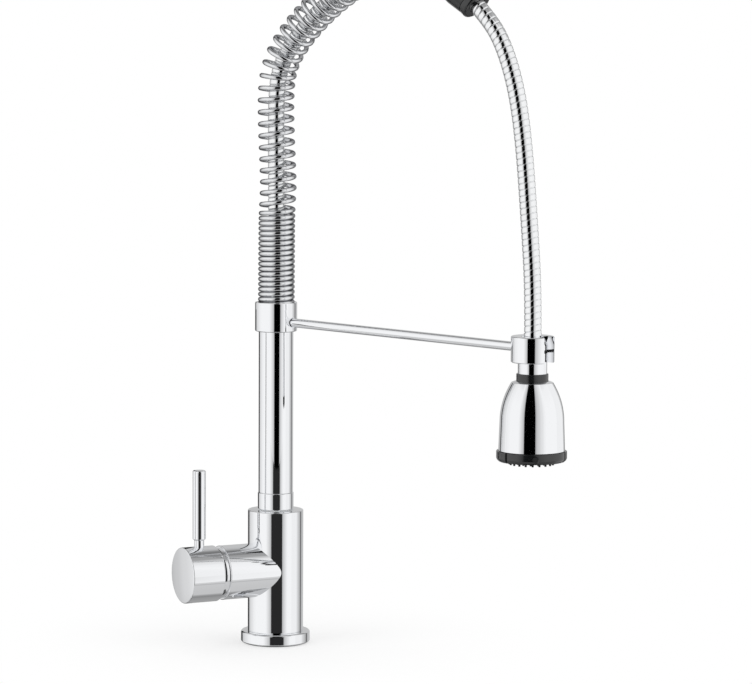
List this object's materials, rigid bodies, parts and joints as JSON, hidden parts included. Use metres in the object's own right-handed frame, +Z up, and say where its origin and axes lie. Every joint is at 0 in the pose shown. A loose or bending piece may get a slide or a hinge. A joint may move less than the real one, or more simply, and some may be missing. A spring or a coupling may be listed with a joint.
{
  "type": "flexible kitchen faucet",
  "caption": "Chrome single-lever kitchen faucet with a swivelling riser, a spring neck, a hanging ribbed hose and a pull-down spray in an open holder.",
  "frame": {"origin": "centre of the foot, on the deck that the faucet stands on", "axes": "+Z up along the riser, +X towards the spray; the lever's branch points 117.6 degrees clockwise from +X, seen from above"},
  "size_m": [0.3311, 0.111, 0.5635],
  "materials": {
    "chrome": "polished chrome plate",
    "spring_steel": "chromed spring wire",
    "hose_steel": "bright ribbed metal hose",
    "steel": "plain steel",
    "brass": "machined brass",
    "black_plastic": "satin black plastic",
    "white_plastic": "white plastic",
    "ceramic": "ground ceramic",
    "rubber": "black rubber"
  },
  "bodies": {
    "base": {"foot_seal": "rubber", "foot_ring": "chrome", "mixer_body": "chrome", "valve_base": "white_plastic", "port_seals": "rubber", "fixed_disc": "ceramic", "valve_housing": "white_plastic", "valve_nut": "brass", "trim_ring": "chrome", "swivel_spigot": "brass", "spigot_seals": "rubber", "glide_ring": "white_plastic", "snap_ring": "steel"},
    "lever_rotor": {"lever_rotor": "white_plastic", "tilt_pin": "steel"},
    "slider": {"slider_disc": "ceramic", "slider_carrier": "white_plastic"},
    "lever": {"lever_stem": "brass", "lever_cap": "chrome", "lever_pin": "chrome", "lever_screw": "steel"},
    "spout": {"riser_sleeve": "chrome", "riser_tube": "chrome", "riser_plug": "chrome", "riser_seals": "rubber", "arm_collar": "chrome", "collar_screw": "steel", "holder_arm": "chrome", "spray_holder": "chrome", "neck_spring": "spring_steel", "hose_nut": "chrome", "hose_washer": "rubber", "hose_tail": "chrome", "neck_hose": "hose_steel", "spring_cap": "black_plastic", "cap_disc": "black_plastic", "spray_hose": "hose_steel"},
    "spray_neck": {"spray_neck": "chrome", "neck_seal": "rubber", "core_seal": "rubber", "head_clip": "steel", "neck_collar": "black_plastic", "hose_ferrule": "chrome", "inlet_filter": "steel", "check_housing": "white_plastic", "check_spring": "steel"},
    "check_poppet": {"check_poppet": "white_plastic"},
    "spray_head": {"spray_bell": "chrome", "spray_core": "white_plastic", "jet_insert": "black_plastic"},
    "mode_ring": {"mode_ring": "black_plastic", "spray_face": "black_plastic", "spray_nozzles": "rubber"}
  },
  "joints": [
    {"name": "spout_swivel", "type": "hinge", "parent": "base", "child": "spout", "pos_m": [0, 0, 0.12], "axis": [0, 0, 1], "continuous": true},
    {"name": "temperature", "type": "hinge", "parent": "base", "child": "lever_rotor", "pos_m": [-0.02224, -0.04254, 0.06], "axis": [-0.4633, -0.8862, 0], "range_deg": [-50, 50]},
    {"name": "flow", "type": "hinge", "parent": "lever_rotor", "child": "lever", "pos_m": [-0.02224, -0.04254, 0.06], "axis": [0.8862, -0.4633, 0], "range_deg": [0, 12.5]},
    {"name": "disc_slide", "type": "slide", "parent": "lever_rotor", "child": "slider", "axis": [0, 0, 1], "range_m": [0, 0.00505]},
    {"name": "spray_pull", "type": "slide", "parent": "spout", "child": "spray_neck", "axis": [0, 0, -1], "range_m": [0, 0.04], "deforming": ["spray_hose"]},
    {"name": "spray_turn", "type": "hinge", "parent": "spray_neck", "child": "spray_head", "pos_m": [0.2465, 0, 0.223], "axis": [0, 0, 1], "continuous": true},
    {"name": "mode_turn", "type": "hinge", "parent": "spray_head", "child": "mode_ring", "pos_m": [0.2465, 0, 0.173], "axis": [0, 0, 1], "range_deg": [0, 60]},
    {"name": "check_slide", "type": "slide", "parent": "spray_neck", "child": "check_poppet", "axis": [0, 0, -1], "range_m": [0, 0.002], "stiffness_N_per_m": 100, "springref_m": -0.003, "deforming": ["check_spring"]}
  ],
  "couplings": [
    {"joint": "disc_slide", "follows": "flow", "m_per_rad": 0.023}
  ]
}
